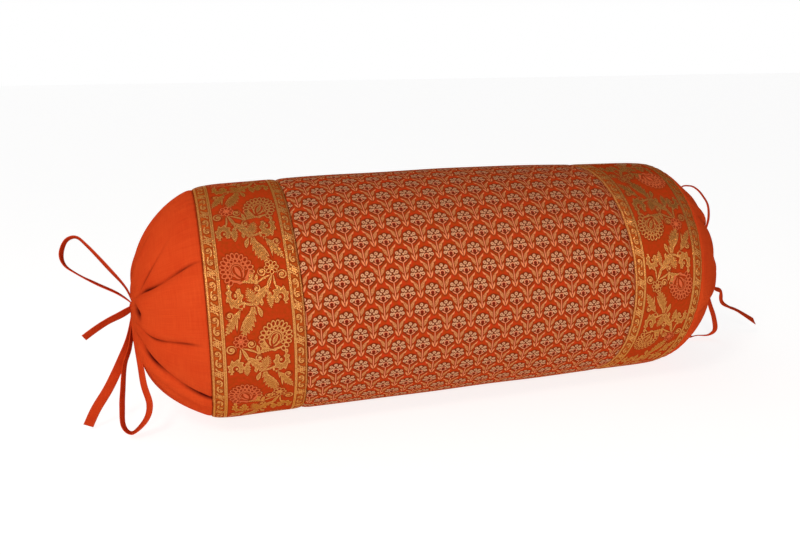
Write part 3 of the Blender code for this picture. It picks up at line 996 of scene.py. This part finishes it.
def guard(across, down, shift):
    """A narrow strip between lines: small six-petalled flowers, and between them an S of two curls."""
    y = (down + shift).wrapped(GUARD_REPEAT) - GUARD_REPEAT / 2.0
    ends = across.point(y.magnitude() - GUARD_REPEAT / 2.0)
    flower, dark = rosette(ends, (0.0, 0.0), 3.7, 6, 0.50)
    turned = (across * y.sign()).point(y.magnitude())
    scroll = curl(turned, (0.7, 6.2), 3.0, -1.0, 0.45, 2.3, 0.60)
    scroll = scroll.most(leaf(turned, (0.2, -3.0), (-2.9, 6.5), 0.8, 0.8))
    scroll = scroll.most(leaf(turned, (-3.0, 9.6), (-0.5, 13.0), 0.8, 0.8))
    return flower.most(scroll), dark


def sprigs(along, down):
    """Half-drop rows of flower sprigs: the insides of petals, gaps, core, stem, leaves and leaf tips.

    A sprig's ground is as wide as a wave of its height, so that it fits between its neighbours, which are
    half a repeat off. It's mirrored about its stem: side runs outwards from the stem and y upwards from the
    flower, in millimetres. Its high leaf is a band along a line that swings outwards.
    """
    x = along - down * COLUMN_LEAN
    up = along * ROW_LEAN - down
    near = (x / COLUMN).zigzag() * COLUMN
    here = (up - SPRIG_LOW).wrapped(REPEAT) + SPRIG_LOW
    there = (up - SPRIG_LOW + REPEAT / 2.0).wrapped(REPEAT) + SPRIG_LOW
    wide = COLUMN / 4.0 + GROUND_WAVE * ((here + 0.3) * (TAU / REPEAT)).cosine()
    other = (near - wide).inside(0.001)
    side = near + other * (COLUMN / 2.0 - 2.0 * near)
    y = here + other * (there - here)
    point = side.point(y)
    petals = joined(point, disc, PETALS)
    gaps = disc(point, (0.0, 2.1), 7.3)
    core = disc(point, SPRIG_EYE, 1.4)
    eye = ring(point, SPRIG_EYE, 2.2, 0.45).least(y + 1.6)
    stem = (0.42 - side).least(y + 18.0).least(-4.0 - y)
    stem = stem.most(leaf(point, (0.0, -4.6), (4.9, -1.3), 0.6)).most(eye)
    line = 0.9 + 0.15 * (y + 19.0) + 6.8 * (y + 5.8).inside(4.0)
    slope = 1.0 - 0.42 * (y + 7.5).inside(2.0)
    leaves = (0.85 - (side - line).magnitude() * slope).least(y + 12.0).least(-2.6 - y)
    leaves = leaves.most(joined(point, leaf, BLADES))
    tips = (side - 5.2).inside(1.6) * (y + 9.5).inside(0.8) + (-16.5 - y).inside(1.5)
    return petals, gaps, core, stem, leaves, tips


def start_cloth(name):
    """A new material, with the point on its cloth in millimetres and the point in space in metres."""
    material = bpy.data.materials.new(name)
    material.use_nodes = True
    first = Signal(material.node_tree)
    on_cloth = first.make("UVMap", {"uv_map": "cloth"}, {}).placed((0.0, 0.0), 0.0, (MM, MM))
    in_space = first.make("TexCoord", {}, {}, 3)
    return material, on_cloth, in_space


def finish_cloth(material, colour, roughness, metallic, height, strength, gloss):
    """Feed a material's shader. The height of its threads is in millimetres, and strength is a share of it.

    A pattern raises threads by the strength, because a bump node works its height out three times, which a
    pattern is too long for.
    """
    normal = colour.make("Bump", {}, {"Strength": strength, "Distance": MM, "Height": height})
    values = {"Base Color": colour, "Roughness": roughness, "Metallic": metallic, "Normal": normal}
    colour.feed(material.node_tree.nodes["Principled BSDF"], {**values, **gloss})
    return material


def woven(x, y, pitch):
    """Height of a plain weave, from -1 to 1: threads one over and one under both ways."""
    return (x * (TAU / pitch)).sine() * (y * (TAU / pitch)).sine()


def silk(on_cloth, in_space, patch, dark, light):
    """Uneven threads, twill, height and ground colour of a brocade, with patches of a size in metres.

    The threads that run round the bolster are raised most, and spread a light's gleam along it.
    """
    x, y = on_cloth.split()
    slub = on_cloth.noise((0.5, 9.0, 1.0))
    patches = in_space.noise((patch, patch, patch))
    floats = on_cloth.noise((3.5, 3.5, 1.0))
    ground = (slub * 0.6 + patches * 0.4 + floats * 3.0 - 1.5).mixed(dark, light)
    twill = ((x + y) * (1.0 / TWILL_PITCH)).zigzag() * 2.0
    height = 0.05 * (x * (TAU / THREAD)).sine() + 0.015 * (y * (TAU / THREAD)).sine() + 0.05 * twill
    return slub, twill, height, ground


def border_brocade(name, across_from, down_from, hand):
    """Red silk with a gold vine between lines and narrow strips.

    across = hand (x - across_from) and down = hand (y - down_from) turn the cloth's own millimetres into
    those of the pattern, which is the same on both borders, turned by half a turn.
    """
    material, on_cloth, in_space = start_cloth(name)
    x, y = on_cloth.split()
    across = (x - across_from) * hand
    down = (y - down_from) * hand
    from_middle = (across - FIELD_MIDDLE).magnitude()
    lines, flowers, spots = vine(across - FIELD_MIDDLE, down)
    field = FIELD_HALF - from_middle
    gold = lines.least(field)
    flowers = flowers.least(field)
    dark = spots.least(field)
    for middle, shift in GUARDS:
        strip, strip_dark = guard(across - middle, down, shift)
        gold = gold.most(strip.least(GUARD_HALF - (across - middle).magnitude()))
        dark = dark.most(strip_dark)
    for middle, half in GOLD_LINES:
        gold = gold.most(half - (across - middle).magnitude())
    for middle, half in BEADED_LINES:
        bead = 0.35 * (down * (TAU / BEAD_PITCH)).sine()
        gold = gold.most(half + bead - (across - middle).magnitude())
    # Figures, their rims, and the flowers of the outer half, which are coral
    near = gold.most(flowers)
    thread = near.inside(EDGE)
    rim = 1.0 - (near - 0.75).inside(0.45)
    coral = flowers.inside(EDGE) * (FIELD_MIDDLE - across).inside(0.5)
    # Glint: noise that paints glints into the gold's colour and the strips' ground, and also varies roughness
    # and bump
    glint = on_cloth.noise((1.0, 1.6, 1.0), 0.0) * 3.0 - 1.0
    # Ground, golden in the strips with painted glints, and with a painted shadow round every figure
    _slub, twill, height, ground = silk(on_cloth, in_space, 0.05, GROUND_DEEP, GROUND)
    strips = (from_middle - FIELD_HALF).inside(0.5)
    ground = (strips * (0.35 + 0.5 * glint)).mixed(ground, STRIP)
    ground = ((near + 0.6).inside(0.8) * 0.85).mixed(ground, FIGURE_SHADOW)
    # Gold, deeper in the middle of wide figures, bright at their rims, and with painted glints in spots
    metal = (twill * 1.4 + glint * 0.5 - 0.35 - 0.25 * (near - 1.1).inside(0.4)).mixed(GOLD_DEEP, GOLD)
    metal = (rim * (0.4 + glint * 0.5)).mixed(metal, GOLD_RIM)
    colour = thread.mixed(ground, coral.mixed(metal, CORAL))
    colour = (dark.inside(EDGE) * 0.8).mixed(colour, SPOT)
    shine = thread * (1.0 - coral)
    roughness = 0.60 - 0.20 * shine - 0.16 * shine * glint
    height = height + 0.10 * glint
    strength = 0.25 + 0.75 * thread
    return finish_cloth(material, colour, roughness, shine * GOLD_METAL, height, strength, BROCADE_GLOSS)


def sprigged_brocade():
    """Rust-red silk with half-drop rows of flower sprigs."""
    material, on_cloth, in_space = start_cloth("sprigged_brocade")
    x, y = on_cloth.split()
    petals, gaps, core, stem, leaves, tips = sprigs(x - SPRIG_AT[0], y - SPRIG_AT[1])
    slub, twill, height, ground = silk(on_cloth, in_space, 0.06, PANEL_DEEP, PANEL_GROUND)
    glint = on_cloth.noise((1.2, 1.2, 1.0), 0.0) * 3.0 - 1.0
    # Ground, with painted shade round the sprigs, and darkest between their petals
    near = leaves.most(petals).most(stem)
    colour = ((near + 1.1).inside(1.1) * 0.8).mixed(ground, PANEL_SHADE)
    colour = (gaps.inside(0.9) * 0.85).mixed(colour, GAP_COLOUR)
    # Leaves with bright tips, stems, petals that are darker in the middle, and cores
    leaf_colour = tips.mixed((twill * 0.4 + glint * 0.6 - 0.1).mixed(LEAF, LEAF_LIGHT), TIP)
    colour = leaves.inside(SPRIG_EDGE).mixed(colour, leaf_colour)
    colour = stem.inside(SPRIG_EDGE).mixed(colour, STEM)
    petal_colour = (1.0 - 0.9 * (petals - 0.95).inside(0.4) + glint * 0.6 - 0.3).mixed(PETAL, PETAL_LIGHT)
    colour = petals.inside(SPRIG_EDGE).mixed(colour, petal_colour)
    colour = core.inside(0.3).mixed(colour, CORE)
    raised = near.inside(SPRIG_EDGE)
    roughness = 0.60 - 0.20 * raised + 0.10 * slub
    height = height + 0.08 * glint
    strength = 0.30 + 0.70 * raised
    return finish_cloth(material, colour, roughness, raised * SILK_METAL, height, strength, BROCADE_GLOSS)


def end_cloth():
    """Orange-red plain weave with uneven threads both ways, and painted shade in the creases of its gathers.
    """
    material, on_cloth, in_space = start_cloth("end_cloth")
    x, y = on_cloth.split()
    weft = on_cloth.noise((0.9, 26.0, 1.0), 3.0)
    warp = on_cloth.noise((26.0, 0.9, 1.0), 3.0)
    soft = in_space.noise((0.035, 0.035, 0.035))
    painted_shade = on_cloth.make("Attribute", {"attribute_name": "painted_shade"}, {}, 2)
    colour = (weft * 0.5 + warp * 0.5 + soft * 0.5 - 0.25).mixed(PLAIN_DEEP, PLAIN)
    # Painted shade at the bottoms of the creases and in the mouth of the tape's channel
    colour = (painted_shade * 1.3).mixed(colour, PLAIN_SHADE)
    height = 0.10 * woven(x, y, 0.8) + 0.25 * weft + 0.25 * warp
    return finish_cloth(material, colour, 0.72 + 0.2 * warp, 0.0, height, 1.0, PLAIN_GLOSS)


def tie_tape():
    """The same cloth folded to a flat tape, with a line of stitches near each edge."""
    material, on_cloth, in_space = start_cloth("tie_tape")
    x, y = on_cloth.split()
    soft = in_space.noise((0.012, 0.012, 0.012))
    thread = on_cloth.noise((5.0, 0.5, 1.0), 3.0)
    from_stitches = (y.magnitude() - STITCH_AT * 0.5 * TIE_WIDTH / MM).magnitude()
    stitch = (0.22 - from_stitches).inside(0.1) * ((x * (1.0 / STITCH_PITCH)).zigzag() - 0.12).inside(0.05)
    groove = (0.45 - from_stitches).inside(0.3)
    colour = (soft * 0.6 + thread * 0.6 - 0.1).mixed(TIE_DEEP, TIE)
    # Painted shade in the groove that each line of stitches draws in
    colour = (groove * 0.5).mixed(colour, TIE_DEEP)
    colour = (stitch * 0.6).mixed(colour, STITCH)
    height = 0.06 * woven(x, y, 0.7) + 0.15 * thread - 0.20 * groove + 0.15 * stitch
    return finish_cloth(material, colour, 0.75 + 0.1 * soft, 0.0, height, 1.0, PLAIN_GLOSS)


def make_floor():
    """A plain pale floor that glows, so that only the darkest part of a shadow shows."""
    mesh = bpy.data.meshes.new("floor")
    far = FLOOR_REACH
    mesh.from_pydata([(-far, -far, 0), (far, -far, 0), (far, far, 0), (-far, far, 0)], [], [(0, 1, 2, 3)])
    floor = bpy.data.objects.new("floor", mesh)
    bpy.context.scene.collection.objects.link(floor)
    paper = bpy.data.materials.new("floor")
    paper.use_nodes = True
    values = {
        "Base Color": FLOOR_GREY,
        "Roughness": 0.9,
        "Emission Color": WHITE,
        "Emission Strength": FLOOR_GLOW,
    }
    Signal(paper.node_tree).feed(paper.node_tree.nodes["Principled BSDF"], values)
    mesh.materials.append(paper)


def make_light():
    """Soft light all round, brighter from the left and white at the horizon, and two lamps."""
    world = bpy.data.worlds.new("studio")
    world.use_nodes = True
    tree = world.node_tree
    ray = Signal(tree).make("TexCoord", {}, {}, 0)
    colour = ray.along((1.0, 0.0, 0.0)).inside(SKY_SOFT).mixed(SKY_LEFT, SKY_RIGHT)
    colour = (HORIZON - ray.along((0.0, 0.0, 1.0))).inside(HORIZON_SOFT).mixed(colour, WHITE)
    colour.feed(tree.nodes["Background"], {"Color": colour, "Strength": 1.0})
    bpy.context.scene.world = world
    for name, place, size, energy in LAMPS:
        data = bpy.data.lights.new(name, "AREA")
        data.shape = "DISK"
        data.size = size
        data.energy = energy
        data.color = LAMP_COLOUR
        lamp = bpy.data.objects.new(name, data)
        lamp.visible_camera = False
        aim(lamp, place, Vector(TARGET) - Vector(place))
    bpy.context.scene.view_settings.view_transform = "Standard"


make_camera()
tape_cloth = tie_tape()
for tie, tapes in TAPES.items():
    for label, length in tapes:
        make_tape(tie, label, tape_cloth)
    for label, lean, size in KNOT_TURNS:
        make_knot(tie, label, lean, size, tape_cloth)
plain_cloth = end_cloth()
for name in ENDS:
    make_end(name, plain_cloth)
barrel_cloths = {
    "border_left": border_brocade("left_brocade", 0.0, from_join(ARC_LEFT), 1.0),
    "panel": sprigged_brocade(),
    "border_right": border_brocade("right_brocade", BORDER_WIDTH, from_join(ARC_RIGHT), -1.0),
}
for name, cloth in barrel_cloths.items():
    make_barrel_piece(name, cloth)
make_floor()
make_light()
